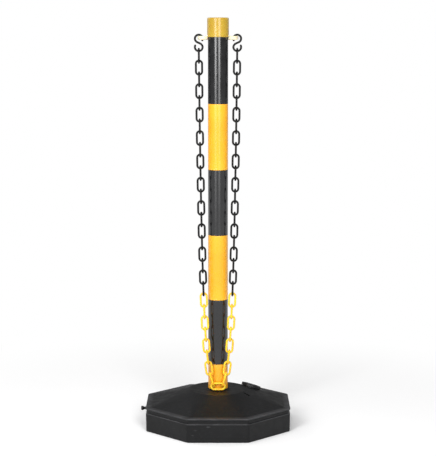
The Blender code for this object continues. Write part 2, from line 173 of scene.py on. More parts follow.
def skin(name, rings, cap_ends, angle=32.0):
    """A skin over rings with the same number of points; cap_ends closes it, else it loops."""
    bm = bmesh.new()
    loops = [[bm.verts.new(point) for point in ring] for ring in rings]
    pairs = list(zip(loops, loops[1:]))
    if not cap_ends:
        pairs.append((loops[-1], loops[0]))
    for lower, upper in pairs:
        for i in range(len(lower)):
            j = (i + 1) % len(lower)
            bm.faces.new((lower[i], lower[j], upper[j], upper[i]))
    if cap_ends:
        bm.faces.new(reversed(loops[0]))
        bm.faces.new(loops[-1])
    bmesh.ops.recalc_face_normals(bm, faces=bm.faces)
    mesh = bpy.data.meshes.new(name)
    bm.to_mesh(mesh)
    bm.free()
    smooth(mesh, angle)
    return mesh


def place(name, mesh, matrix=None):
    piece = bpy.data.objects.new(name, mesh)
    bpy.context.scene.collection.objects.link(piece)
    piece.matrix_world = matrix or Matrix.Identity(4)
    return piece


def carve(piece, tools, angle=32.0):
    """Applies Booleans to a piece, one (operation, tool) after another, and removes the tools."""
    for operation, tool in tools:
        modifier = piece.modifiers.new(tool.name, "BOOLEAN")
        modifier.operation = operation
        modifier.object = tool
        modifier.solver = "EXACT"
    bpy.context.view_layer.update()
    graph = bpy.context.evaluated_depsgraph_get()
    mesh = bpy.data.meshes.new_from_object(piece.evaluated_get(graph))
    piece.modifiers.clear()
    piece.data = mesh
    smooth(mesh, angle)
    for _, tool in tools:
        bpy.data.objects.remove(tool, do_unlink=True)
    return piece


def soften(piece, width, segments=3, angle=40.0):
    """Rounds the sharp edges that Booleans leave."""
    bevel = piece.modifiers.new("edge", "BEVEL")
    bevel.width = width
    bevel.segments = segments
    bevel.limit_method = "ANGLE"
    bevel.angle_limit = math.radians(angle)
    bevel.use_clamp_overlap = True
    bevel.harden_normals = False
    return piece


def even_normals(piece):
    weighted = piece.modifiers.new("normals", "WEIGHTED_NORMAL")
    weighted.keep_sharp = True
    weighted.weight = 80


def circle(radius, z, sides=ROUND_SIDES, ripple=None):
    points = []
    for i in range(sides):
        angle = 2 * math.pi * i / sides
        reach = radius - (ripple(angle) if ripple else 0.0)
        points.append(Vector((reach * math.cos(angle), reach * math.sin(angle), z)))
    return points


def filleted(profile, closed, steps=4):
    """(radius, z, fillet) corners as a finely rounded list of (radius, z) points."""
    corners = [(Vector((r, z)), fillet) for r, z, fillet in profile]
    count = len(corners)
    points = []
    for i, (corner, fillet) in enumerate(corners):
        at_end = not closed and i in (0, count - 1)
        if fillet <= 0 or at_end:
            points.append(corner)
            continue
        before = corners[i - 1][0] - corner
        after = corners[(i + 1) % count][0] - corner
        reach = min(fillet, 0.46 * before.length, 0.46 * after.length)
        start = corner + before.normalized() * reach
        end = corner + after.normalized() * reach
        for step in range(steps + 1):
            t = step / steps
            points.append((1 - t) ** 2 * start + 2 * t * (1 - t) * corner + t * t * end)
    return [(point.x, point.y) for point in points]


def turned(name, profile, closed, sides=ROUND_SIDES, ripple=None, steps=4):
    """A turned solid; profile holds (radius, z, fillet) corners. ripple(angle, radius, z)
    is how far the surface lies inside its radius."""
    rings = []
    for radius, z in filleted(profile, closed, steps):
        local = (lambda angle, r=radius, h=z: ripple(angle, r, h)) if ripple else None
        rings.append(circle(radius, z, sides, local))
    return skin(name, rings, not closed)


def box_mesh(name, low, high):
    rings = [
        [Vector((x, y, z)) for x, y in ((low[0], low[1]), (high[0], low[1]), (high[0], high[1]),
                                        (low[0], high[1]))]
        for z in (low[2], high[2])
    ]
    return skin(name, rings, True)


def wire_ring(point, normal, binormal, radius, sides):
    turn = 2 * math.pi / sides
    return [
        point + radius * (math.cos(turn * i) * normal + math.sin(turn * i) * binormal)
        for i in range(sides)
    ]


# ---------------------------------------------------------------- base


def base_azimuths():
    """Azimuth offsets from a corner, crowded where the corners are tight."""
    half = [0.35, 0.7, 1.05, 1.4, 1.9, 2.8, 4.2, 6.2, 8.8, 12.0, 15.4, 18.9]
    offsets = [-delta for delta in reversed(half)] + [0.0] + half + [22.5]
    return [(side, offset) for side in range(8) for offset in offsets]


AZIMUTHS = base_azimuths()


def octagon_reach(apothem, corner, offset):
    """Distance from the axis to a rounded octagon, at an angle off the nearest corner."""
    delta = math.radians(abs(offset))
    eighth = math.radians(22.5)
    centre = (apothem - corner) / math.cos(eighth)
    tangent = eighth - math.atan((apothem - corner) * math.tan(eighth) / apothem)
    if delta >= tangent:
        return apothem / math.cos(eighth - delta)
    return centre * math.cos(delta) + math.sqrt(corner**2 - (centre * math.sin(delta)) ** 2)


def octagon_ring(apothem, corner, z, sink=0.0):
    """sink draws the middle of each flat inwards, as a moulded wall does when it cools."""
    points = []
    for side, offset in AZIMUTHS:
        flatness = math.sin(math.pi / 2 * abs(offset) / 22.5) ** 2
        reach = octagon_reach(apothem, corner, offset) - sink * flatness
        azimuth = math.radians(22.5 + 45 * side + offset)
        points.append(Vector((reach * math.cos(azimuth), reach * math.sin(azimuth), z)))
    return points


def cone_rings(foot, foot_height, top, top_height, corner, steps, ripples=0.0):
    """The slope from the octagonal rim up to the round disc, faintly rippled near its foot."""
    rings = []
    for step in range(steps + 1):
        t = step / steps
        apothem = foot + (top - foot) * t
        roundness = t * t * (3 - 2 * t)
        z = foot_height + (top_height - foot_height) * t
        z += ripples * math.sin(26 * math.pi * t) * max(0.0, 1 - t / 0.42)
        rings.append(octagon_ring(apothem, corner + (apothem - corner) * roundness, z))
    return rings


def base_outside():
    """edge holds (inset from the full apothem, z, fillet) and centre holds (radius, z, fillet)."""
    edge = [
        (0.0052, 0.0, 0.0),
        (0.0011, 0.0, 0.0042),
        (0.0006, WALL_TOP, 0.0007),
        (0.0024, WALL_TOP + 0.0015, 0.0006),
        (0.0023, RIM_TOP - 0.0034, 0.0006),
        (0.0001, RIM_TOP - 0.0023, 0.0009),
        (0.0001, RIM_TOP + 0.0001, 0.0019),
        (CONE_FOOT_INSET, CONE_FOOT_HEIGHT, 0.0),
    ]
    points = filleted(edge, False, 5)
    rings = []
    for (inset, z), (_, next_z) in zip(points, points[1:]):
        is_wall = next_z - z > 0.02
        parts = WALL_STEPS if is_wall else 1
        for part in range(parts):
            t = part / parts
            level = z + (next_z - z) * t
            sink = WALL_SINK * math.sin(math.pi * t) if is_wall else 0.0
            blended = inset - 0.0005 * t if is_wall else inset
            rings.append(octagon_ring(BASE_APOTHEM - blended, BASE_CORNER, level, sink))
    rings += cone_rings(
        BASE_APOTHEM - CONE_FOOT_INSET, CONE_FOOT_HEIGHT, DISC_RADIUS + 0.003,
        DISC_HEIGHT - 0.0007, BASE_CORNER, CONE_STEPS, MOULD_RIPPLE,
    )
    well = TUBE_RADIUS + GAP
    centre = [
        (DISC_RADIUS + 0.003, DISC_HEIGHT - 0.0007, 0.0),
        (DISC_RADIUS + 0.0005, DISC_HEIGHT, 0.0030),
        (LIP_RADIUS + 0.0008, DISC_HEIGHT, 0.0008),
        (LIP_RADIUS, LIP_TOP, 0.0008),
        (well, LIP_TOP, 0.0007),
        (well, WELL_FLOOR, 0.0),
    ]
    rings += [octagon_ring(radius, radius, z) for radius, z in filleted(centre, False, 5)[1:]]
    return skin("base_outside", rings, True, 24.0)


def base_cavity():
    corner = BASE_CORNER - BASE_WALL
    sleeve = TUBE_RADIUS + GAP + BASE_WALL
    edge = [(0.0060, UNDERSIDE_THICKNESS), (0.0048, UNDERSIDE_THICKNESS + 0.0020),
            (0.0046, RIM_TOP - 0.0050), (0.0070, RIM_TOP - 0.0033)]
    centre = [(DISC_RADIUS, DISC_HEIGHT - BASE_WALL), (sleeve + 0.0015, DISC_HEIGHT - BASE_WALL),
              (sleeve, DISC_HEIGHT - BASE_WALL - 0.0015), (sleeve, WELL_FLOOR - BASE_WALL)]
    rings = [octagon_ring(BASE_APOTHEM - inset, corner, z) for inset, z in edge]
    rings += cone_rings(
        BASE_APOTHEM - CONE_FOOT_INSET - 0.001, CONE_FOOT_HEIGHT - BASE_WALL, DISC_RADIUS + 0.003,
        DISC_HEIGHT - BASE_WALL - 0.0007, corner, 8,
    )
    rings += [octagon_ring(radius, radius, z) for radius, z in centre]
    return skin("base_cavity", rings, True)


def slope_matrix(azimuth, distance):
    """A frame on the slope of the base: Z stands square on it and X points down it."""
    run = BASE_APOTHEM - CONE_FOOT_INSET - DISC_RADIUS - 0.003
    rise = DISC_HEIGHT - 0.0007 - CONE_FOOT_HEIGHT
    height = CONE_FOOT_HEIGHT + rise * (BASE_APOTHEM - CONE_FOOT_INSET - distance) / run
    lean = math.atan2(rise, run)
    turn = Matrix.Rotation(azimuth, 4, "Z")
    return turn @ Matrix.Translation((distance, 0, height)) @ Matrix.Rotation(lean, 4, "Y")


def port_matrix():
    """The frame of the fill port."""
    return slope_matrix(PORT_AZIMUTH, PORT_DISTANCE)


def plug_matrix():
    """The frame of the side plug: its Z axis points out of the left wall."""
    wall = BASE_APOTHEM - 0.0006
    return Matrix.Translation((-wall, 0, PLUG_HEIGHT)) @ Matrix.Rotation(-math.pi / 2, 4, "Y")


def make_base():
    base = place("base_fine", base_outside())
    boss = [
        (BOSS_RADIUS, -0.0022, 0.0),
        (BOSS_RADIUS, BOSS_HEIGHT, 0.0005),
        (0.010, BOSS_HEIGHT, 0.0),
    ]
    hole = [(PORT_HOLE, -0.012, 0.0), (PORT_HOLE, 0.006, 0.0)]
    plug_hole = turned(
        "plug_hole", [(PLUG_HOLE, -0.008, 0.0), (PLUG_HOLE, 0.004, 0.0)], False, 32
    )
    half_length, half_width = VENT_LENGTH / 2, VENT_WIDTH / 2
    slot = box_mesh("vent", (-half_length, -half_width, -0.006), (half_length, half_width, 0.004))
    vent = place("vent", slot, slope_matrix(VENT_AZIMUTH, VENT_DISTANCE))
    soften(vent, 0.0018, 5)
    tools = [
        ("DIFFERENCE", place("cavity", base_cavity())),
        ("UNION", place("boss", turned("boss", boss, False, 72), port_matrix())),
        ("DIFFERENCE", place("hole", turned("hole", hole, False, 72), port_matrix())),
        ("DIFFERENCE", vent),
        ("DIFFERENCE", place("plug_hole", plug_hole, plug_matrix())),
    ]
    return carve(base, tools, 24.0)


def knurl(angle, radius, z):
    """Grip ribs round the skirt of the fill cap."""
    if radius < FILL_CAP_RADIUS - 0.0006 or not 0.0019 < z < FILL_CAP_TOP - 0.0006:
        return 0.0
    return GRIP_RIB_DEPTH * (0.5 - 0.5 * math.cos(GRIP_RIBS * angle))


def make_fill_cap():
    under = BOSS_HEIGHT + SEAL_THICKNESS + 2 * GAP
    stem = PORT_HOLE - GAP
    profile = [
        (0.0110, under + 0.0005, 0.0),
        (FILL_STEM_BORE, under + 0.0005, FINE_EDGE),
        (FILL_STEM_BORE, -FILL_STEM_DEPTH, HAIR_EDGE),
        (stem, -FILL_STEM_DEPTH, FINE_EDGE),
        (stem, under, HAIR_EDGE),
        (BOSS_RADIUS + 0.0004, under, 0.0002),
        (BOSS_RADIUS + 0.0004, FILL_CAP_SKIRT, 0.0002),
        (FILL_CAP_RADIUS, FILL_CAP_SKIRT, FINE_EDGE),
        (FILL_CAP_RADIUS, FILL_CAP_TOP, 0.0009),
        (FILL_CAP_RADIUS - 0.0029, FILL_CAP_TOP, 0.0006),
        (FILL_CAP_RADIUS - 0.0032, FILL_CAP_TOP - 0.0014, FINE_EDGE),
        (0.0040, FILL_CAP_TOP - 0.0014, 0.0),
    ]
    mesh = turned("fill_cap_fine", profile, False, FILL_CAP_SIDES, knurl)
    cap = place("fill_cap_fine", mesh, port_matrix())
    bar = place("grip", box_mesh("grip", GRIP_LOW, GRIP_HIGH), port_matrix())
    soften(bar, 0.0006, 4)
    return carve(cap, [("UNION", bar)])


def make_seal():
    low, high = BOSS_HEIGHT + GAP, BOSS_HEIGHT + GAP + SEAL_THICKNESS
    inner, outer = PORT_HOLE, BOSS_RADIUS - 0.0002
    corners = ((inner, low), (outer, low), (outer, high), (inner, high))
    ring = [(radius, z, HAIR_EDGE) for radius, z in corners]
    return place("fill_seal_fine", turned("fill_seal_fine", ring, True), port_matrix())


def make_side_plug():
    stem = PLUG_HOLE - GAP
    profile = [
        (stem - 0.0010, -0.0085, 0.0),
        (stem, -0.0070, 0.0006),
        (stem, GAP, 0.0),
        (PLUG_FLANGE_RADIUS, GAP, 0.0002),
        (PLUG_FLANGE_RADIUS, 0.0014, 0.0005),
        (PLUG_STALK_RADIUS, 0.0021, 0.0006),
        (PLUG_STALK_RADIUS, 0.0072, 0.0008),
        (PLUG_KNOB_RADIUS, 0.0083, 0.0012),
        (PLUG_KNOB_RADIUS, PLUG_REACH, 0.0020),
        (0.0012, PLUG_REACH, 0.0),
    ]
    return place("side_plug_fine", turned("side_plug_fine", profile, False, 48), plug_matrix())


# ---------------------------------------------------------------- post and head


def make_tube(number):
    """Tube 1 is plain and sits in the well; the others have a spigot below their shoulder."""
    name = f"tube_{number}_fine"
    if number == 1:
        low = WELL_FLOOR + GAP
        high = LOWEST_JOINT - GAP
        profile = [
            (TUBE_RADIUS, low, TUBE_EDGE),
            (TUBE_RADIUS, high, TUBE_EDGE),
            (TUBE_BORE, high, FINE_EDGE),
            (TUBE_BORE, low, FINE_EDGE),
        ]
        return place(name, turned(name, profile, True))
    top = TUBE_LENGTH + SKIRT_OVERLAP if number == TUBE_COUNT else TUBE_LENGTH - GAP
    spigot = TUBE_BORE - GAP
    profile = [
        (TUBE_RADIUS, 0.0, TUBE_EDGE),
        (TUBE_RADIUS, top, TUBE_EDGE),
        (TUBE_BORE, top, FINE_EDGE),
        (TUBE_BORE, 0.006, 0.001),
        (SPIGOT_BORE, 0.003, 0.001),
        (SPIGOT_BORE, -SPIGOT_LENGTH, FINE_EDGE),
        (spigot - 0.0006, -SPIGOT_LENGTH, FINE_EDGE),
        (spigot, -SPIGOT_LENGTH + 0.002, 0.001),
        (spigot, 0.0, 0.0),
    ]
    shoulder = LOWEST_JOINT + (number - 2) * TUBE_LENGTH
    return place(name, turned(name, profile, True), Matrix.Translation((0, 0, shoulder)))


def ear_mesh():
    """An eyelet round its own Z axis: a bar with round top and bottom, bent into a ring."""
    bar = EAR_BAR / 2
    rise = EAR_HEIGHT / 2 - bar
    middle = EAR_RADIUS - bar
    section = []
    for step in range(25):
        angle = -math.pi / 2 + math.pi * step / 12
        lift = rise if 0 < step - 6 < 12 else -rise
        if step in (6, 18):
            section.append((middle + bar * math.cos(angle), -rise if step == 6 else rise))
            section.append((middle + bar * math.cos(angle), rise if step == 6 else -rise))
        elif step < 24:
            section.append((middle + bar * math.cos(angle), lift + bar * math.sin(angle)))
    return skin("ear", [circle(radius, z, 72) for radius, z in section], False, 40.0)


def make_ring():
    """The hub between the top tube and the cap, with a neck and an eyelet on each side."""
    outer = TUBE_RADIUS - GAP
    corners = ((TUBE_BORE, HUB_BOTTOM), (outer, HUB_BOTTOM), (outer, HUB_TOP), (TUBE_BORE, HUB_TOP))
    hub = [(radius, z, HAIR_EDGE) for radius, z in corners]
    ring = place("ring_fine", turned("ring_fine", hub, True))
    clearance = TUBE_RADIUS + 0.0005
    shaft = [(clearance, EAR_LEVEL - EAR_HEIGHT, 0.0), (clearance, HUB_BOTTOM + 0.0002, 0.0)]
    tools = []
    for side in (-1, 1):
        ear = place("ear", ear_mesh(), Matrix.Translation((side * EAR_DISTANCE, 0, EAR_LEVEL)))
        carve(ear, [("DIFFERENCE", place("shaft", turned("shaft", shaft, False)))], 40.0)
        near = side * (TUBE_RADIUS - 0.0016)
        far = side * (EAR_DISTANCE - EAR_RADIUS + EAR_BAR)
        low, high = (min(near, far), -0.0045, HUB_BOTTOM), (max(near, far), 0.0045, HUB_TOP)
        neck = place("neck", box_mesh("neck", low, high))
        tools += [("UNION", neck), ("UNION", ear)]
    return soften(carve(ring, tools, 40.0), 0.0003, 2, 50.0)


def make_cap():
    """The hollow cap, with a spigot and a notch for each ear."""
    shoulder = HUB_TOP + GAP
    spigot = TUBE_BORE - GAP
    spigot_end = CAP_BOTTOM - CAP_SPIGOT_LENGTH
    profile = [
        (0.0060, CAP_TOP - 0.003, 0.0),
        (SPIGOT_BORE, CAP_TOP - 0.003, 0.0010),
        (SPIGOT_BORE, spigot_end, FINE_EDGE),
        (spigot - 0.0006, spigot_end, FINE_EDGE),
        (spigot, spigot_end + 0.002, 0.001),
        (spigot, shoulder, 0.0),
        (TUBE_RADIUS + GAP, shoulder, 0.0),
        (TUBE_RADIUS + GAP, CAP_BOTTOM, HAIR_EDGE),
        (CAP_RADIUS, CAP_BOTTOM, FINE_EDGE),
        (CAP_RADIUS, CAP_TOP, 0.0030),
        (0.0150, CAP_TOP, 0.0005),
        (0.0140, CAP_TOP - 0.0006, 0.0005),
        (0.0030, CAP_TOP - 0.0006, 0.0),
    ]
    cap = place("cap_fine", turned("cap_fine", profile, False, ROUND_SIDES, None, 6))
    half = NOTCH_WIDTH / 2
    tools = []
    for side in (-1, 1):
        near, far = side * (TUBE_RADIUS - 0.003), side * (CAP_RADIUS + 0.003)
        low = (min(near, far), -half, CAP_BOTTOM - 0.002)
        high = (max(near, far), half, shoulder + 0.0004)
        tools.append(("DIFFERENCE", place("notch", box_mesh("notch", low, high))))
    return carve(cap, tools)


# ---------------------------------------------------------------- hooks and chain


def hook_line():
    """The S of a hook as dense points (x, z) in its own plane; x grows towards the post."""
    spacing = HOOK_DROP - 2 * HOOK_LOOP
    lean = math.acos(2 * HOOK_LOOP / spacing)
    start, end, steps = math.radians(-40), 1.5 * math.pi - lean, 90
    upper = []
    for step in range(steps + 1):
        angle = start + (end - start) * step / steps
        upper.append(Vector((HOOK_LOOP * math.cos(angle), 0, HOOK_LOOP * (math.sin(angle) - 1))))
    lower = [Vector((-point.x, 0, -HOOK_DROP - point.z)) for point in reversed(upper)]
    stem = [upper[-1].lerp(lower[0], step / 24) for step in range(1, 24)]
    return upper + stem + lower


def along(line, distance):
    """The point and direction on a polyline at a distance from its start."""
    for one, two in zip(line, line[1:]):
        length = (two - one).length
        if distance <= length or two is line[-1]:
            return one.lerp(two, distance / length), (two - one).normalized()
        distance -= length


def rod(name, line, radius, sides=24, rings_between=72):
    """A round rod with domed ends along a line in the XZ plane."""
    total = sum((two - one).length for one, two in zip(line, line[1:]))
    dome = [math.radians(12 + 13 * step) for step in range(7)]
    stations = [(radius * (1 - math.cos(a)), radius * math.sin(a)) for a in dome[:-1]]
    middle = [radius + (total - 2 * radius) * i / rings_between for i in range(rings_between + 1)]
    stations += [(distance, radius) for distance in middle]
    stations += [(total - distance, size) for distance, size in reversed(stations[: len(dome) - 1])]
    across = Vector((0, 1, 0))
    rings = []
    for distance, size in stations:
        point, direction = along(line, distance)
        rings.append(wire_ring(point, direction.cross(across).normalized(), across, size, sides))
    return skin(name, rings, True, 60.0)


def hook_mesh(name, side):
    line = [Vector((side * (HOOK_REACH - point.x), 0, point.z)) for point in hook_line()]
    return rod(name, line, HOOK_WIRE / 2)


def link_mesh(name):
    """One chain link: long axis along X, flat in XZ, with a fine mould seam round its outside."""
    sides, rings = 22, []
    across = Vector((0, 1, 0))
    for end in (1, -1):
        for step in range(17):
            angle = math.radians(-90 + 11.25 * step) + (0 if end > 0 else math.pi)
            outward = Vector((math.cos(angle), 0, math.sin(angle)))
            point = Vector((end * LINK_STRAIGHT, 0, 0)) + LINK_BOW * outward
            ring = wire_ring(point, outward, across, LINK_WIRE / 2, sides)
            ring[0] += outward * MOULD_SEAM
            rings.append(ring)
        outward = Vector((0, 0, end))
        for step in range(1, 5):
            x = end * LINK_STRAIGHT * (1 - 2 * step / 5)
            ring = wire_ring(Vector((x, 0, end * LINK_BOW)), outward, across, LINK_WIRE / 2, sides)
            ring[0] += outward * MOULD_SEAM
            rings.append(ring)
    return skin(name, rings, False, 60.0)


def chain_steps(steepness):
    """The chain as straight steps (length, slope angle) from the left hook to the right one."""
    middle = (LINK_COUNT - 1) / 2
    hook_step = HOOK_LOOP - (HOOK_WIRE + LINK_WIRE) / 2 - GAP
    bow_step = LINK_BOW - LINK_WIRE - GAP
    steps = [(hook_step, math.atan(-(middle + 0.5) * steepness))]
    for number in range(LINK_COUNT):
        k = number - middle
        is_across = number % 2 == 0
        steps.append((2 * (LINK_HALF if is_across else LINK_STRAIGHT), math.atan(k * steepness)))
        last = number == LINK_COUNT - 1
        steps.append((hook_step if last else bow_step, math.atan((k + 0.5) * steepness)))
    return steps


def chain_layout():
    """(centre x, centre z, slope angle) of each link, in the plane of the chain."""
    low, high = 0.1, 50.0
    for _ in range(60):
        trial = (low + high) / 2
        span = sum(length * math.cos(angle) for length, angle in chain_steps(trial))
        if span > 2 * HOOK_REACH:
            low = trial
        else:
            high = trial
    x, z = -HOOK_REACH, HOOK_LOOP
    layout = []
    for index, (length, angle) in enumerate(chain_steps(low)):
        if index % 2 == 1:
            middle = length / 2
            layout.append((x + middle * math.cos(angle), z + middle * math.sin(angle), angle))
        x += length * math.cos(angle)
        z += length * math.sin(angle)
    return layout


def link_matrix(number, spot):
    """Every second link stands across the plane of the chain."""
    x, z, angle = spot
    roll = math.pi / 2 if number % 2 == 0 else 0.0
    turn = Matrix.Rotation(-angle, 4, "Y")
    return Matrix.Translation((x, 0, z)) @ turn @ Matrix.Rotation(roll, 4, "X")


def link_node(number):
    """The CAD node that holds a link; most black links are in nodes of two."""
    label = number + 1
    if BLACK_LINKS <= label <= BLACK_LINKS + YELLOW_LINKS + 1:
        return f"chain_link_{label:02d}"
    first_paired = 1 if label < BLACK_LINKS else BLACK_LINKS + YELLOW_LINKS + 2
    first = label - (label - first_paired) % 2
    return f"chain_links_{first:02d}_{first + 1:02d}"


def make_hooks_and_chain():
    layout = chain_layout()
    lowest = min(z for _, z, _ in layout)
    lean = math.asin(CHAIN_CLEARANCE / (HOOK_DROP - lowest))
    hooks = Matrix.Translation((0, 0, HOOK_PIVOT)) @ Matrix.Rotation(-lean, 4, "X")
    chain = hooks @ Matrix.Translation((0, 0, -HOOK_DROP))
    for name, side in (("left", -1), ("right", 1)):
        piece = place(f"hook_{name}_fine", hook_mesh(f"hook_{name}_fine", side), hooks)
        finish(piece, f"hook_{name}", "hook_black", hook_plastic, f"s_hook_{name}")
    meshes = {colour: link_mesh(f"link_{colour}") for colour in ("black", "yellow")}
    for number in range(LINK_COUNT):
        yellow = BLACK_LINKS <= number < BLACK_LINKS + YELLOW_LINKS
        colour = "yellow" if yellow else "black"
        spot = chain @ link_matrix(number, layout[number])
        piece = place(f"link_{number + 1:02d}", meshes[colour], spot)
        material = link_yellow if yellow else link_black
        finish(piece, "chain", f"chain_{colour}", material, link_node(number))


# ---------------------------------------------------------------- materials


class Surface:
    """Builds one procedural material round a Principled shader, in the piece's own space."""

    def __init__(self, name, **constants):
        self.material = bpy.data.materials.new(name)
        self.material.use_nodes = True
        self.nodes = self.material.node_tree.nodes
        self.links = self.material.node_tree.links
        self.shader = self.nodes["Principled BSDF"]
        for socket, value in constants.items():
            self.shader.inputs[socket.replace("_", " ")].default_value = value
        self.space = self.nodes.new("ShaderNodeTexCoord").outputs["Object"]
        self.height = None

    def stretched(self, x, y, z):
        node = self.nodes.new("ShaderNodeVectorMath")
        node.operation = "MULTIPLY"
        self.links.new(self.space, node.inputs[0])
        node.inputs[1].default_value = (x, y, z)
        return node.outputs["Vector"]

    def noise(self, scale, detail=2.0, vector=None, per_piece=False):
        node = self.nodes.new("ShaderNodeTexNoise")
        self.links.new(vector or self.space, node.inputs["Vector"])
        node.inputs["Scale"].default_value = scale
        node.inputs["Detail"].default_value = detail
        if per_piece:
            node.noise_dimensions = "4D"
            info = self.nodes.new("ShaderNodeObjectInfo")
            self.links.new(self.maths("MULTIPLY", info.outputs["Random"], 31.0), node.inputs["W"])
        return node.outputs["Fac"]

    def maths(self, operation, one, two):
        node = self.nodes.new("ShaderNodeMath")
        node.operation = operation
        for socket, value in zip(node.inputs, (one, two)):
            if isinstance(value, (int, float)):
                socket.default_value = value
            else:
                self.links.new(value, socket)
        return node.outputs[0]

    def spread(self, value, low, high, to_low=0.0, to_high=1.0):
        """Maps low..high to to_low..to_high with soft ends."""
        node = self.nodes.new("ShaderNodeMapRange")
        node.interpolation_type = "SMOOTHSTEP"
        self.links.new(value, node.inputs["Value"])
        for socket, number in zip(node.inputs[1:5], (low, high, to_low, to_high)):
            socket.default_value = number
        return node.outputs["Result"]

    def blend(self, factor, one, two):
        node = self.nodes.new("ShaderNodeMix")
        node.data_type = "RGBA"
        self.links.new(factor, node.inputs[0])
        for socket, value in ((node.inputs[6], one), (node.inputs[7], two)):
            if isinstance(value, tuple):
                socket.default_value = (*value, 1.0)
            else:
                self.links.new(value, socket)
        return node.outputs[2]

    def axis(self, name):
        node = self.nodes.new("ShaderNodeSeparateXYZ")
        self.links.new(self.space, node.inputs[0])
        return node.outputs[name]

    def bump(self, value, depth):
        node = self.nodes.new("ShaderNodeBump")
        node.inputs["Distance"].default_value = depth
        node.inputs["Strength"].default_value = 1.0
        self.links.new(value, node.inputs["Height"])
        if self.height:
            self.links.new(self.height, node.inputs["Normal"])
        self.height = node.outputs["Normal"]
        self.links.new(self.height, self.shader.inputs["Normal"])

    def set(self, socket, value):
        self.links.new(value, self.shader.inputs[socket])


def moulded_black(name, colour, pale, roughness, grain, per_piece=False, edges=(), **constants):
    """Moulded black plastic: cloudy colour, fine grain, pale scuffs, and pale bands along chosen
    edges that are painted highlight lines with patchy wear.

    edges lists the edges that get a pale band, a painted highlight line with patchy wear, as
    (height, half of the band's width).
    """
    s = Surface(name, **constants)
    clouds = s.noise(22.0, 3.0, per_piece=per_piece)
    deep = tuple(0.62 * channel for channel in colour)
    body = s.blend(s.spread(clouds, 0.35, 0.65), deep, colour)
    speck = s.spread(s.noise(650.0, 2.0, per_piece=per_piece), 0.62, 0.78, 0.0, 0.35)
    scratch = s.spread(s.noise(1.0, 3.0, s.stretched(60.0, 900.0, 140.0)), 0.66, 0.74, 0.0, 0.4)
    wear_and_highlight = s.maths("MAXIMUM", speck, scratch)
    # Each listed edge gets a pale band: a painted highlight line where the light catches the edge,
    # made patchy as wear.
    for level, half in edges:
        height = s.axis("Z")
        rising = s.spread(height, level - half, level)
        falling = s.spread(height, level, level + half, 1.0, 0.0)
        patchy = s.spread(s.noise(45.0, 3.0), 0.3, 0.7, 0.55, 1.0)
        edge_highlight_and_wear = s.maths("MULTIPLY", s.maths("MULTIPLY", rising, falling), patchy)
        wear_and_highlight = s.maths("MAXIMUM", wear_and_highlight, edge_highlight_and_wear)
    s.set("Base Color", s.blend(wear_and_highlight, body, pale))
    matt = s.spread(s.noise(75.0, 4.0, per_piece=per_piece), 0.3, 0.7, *roughness)
    s.set("Roughness", s.maths("ADD", matt, s.maths("MULTIPLY", scratch, 0.12)))
    s.bump(s.noise(14.0, 1.0), grain * 12)
    s.bump(s.noise(1400.0, 2.0), grain)
    return s.material


def tube_plastic(name, colour, shade, pale, roughness, length, **constants):
    """Extruded tube: streaks along its length, with scuffed ends; length is (low z, high z)."""
    s = Surface(name, **constants)
    clouds = s.noise(16.0, 2.0)
    body = s.blend(s.spread(clouds, 0.3, 0.7), shade, colour)
    streak = s.noise(1.0, 2.0, s.stretched(520.0, 520.0, 6.0))
    body = s.blend(s.spread(streak, 0.4, 0.75, 0.0, 0.22), body, shade)
    low, high = length
    height = s.axis("Z")
    near_low = s.spread(height, low, low + 0.006, 1.0, 0.0)
    near_high = s.spread(height, high - 0.006, high, 0.0, 1.0)
    patch = s.spread(s.noise(420.0, 3.0), 0.48, 0.66)
    scuff = s.maths("MULTIPLY", s.maths("MAXIMUM", near_low, near_high), patch)
    scratch = s.spread(s.noise(1.0, 2.0, s.stretched(900.0, 900.0, 45.0)), 0.68, 0.76, 0.0, 0.5)
    mark = s.maths("MAXIMUM", s.maths("MULTIPLY", scuff, 0.5), s.maths("MULTIPLY", scratch, 0.45))
    s.set("Base Color", s.blend(mark, body, pale))
    matt = s.spread(s.noise(48.0, 3.0), 0.3, 0.7, *roughness)
    s.set("Roughness", s.maths("ADD", matt, s.maths("MULTIPLY", mark, 0.25)))
    s.bump(streak, 0.000004)
    s.bump(s.noise(1100.0, 2.0), 0.0000015)
    return s.material


def moulded_colour(name, colour, shade, pale, roughness, per_piece=False, **constants):
    """Injection moulded coloured plastic, a little cloudy, with faint flow marks."""
    s = Surface(name, **constants)
    clouds = s.noise(38.0, 3.0, per_piece=per_piece)
    body = s.blend(s.spread(clouds, 0.32, 0.68), shade, colour)
    flow = s.spread(s.noise(1.0, 2.0, s.stretched(70.0, 70.0, 420.0)), 0.5, 0.8, 0.0, 0.3)
    body = s.blend(flow, body, shade)
    speck = s.spread(s.noise(800.0, 2.0, per_piece=per_piece), 0.64, 0.8, 0.0, 0.4)
    s.set("Base Color", s.blend(speck, body, pale))
    matt = s.spread(s.noise(90.0, 3.0, per_piece=per_piece), 0.3, 0.7, *roughness)
    s.set("Roughness", matt)
    s.bump(s.noise(60.0, 1.0), 0.000010)
    s.bump(s.noise(1300.0, 2.0), 0.000002)
    return s.material


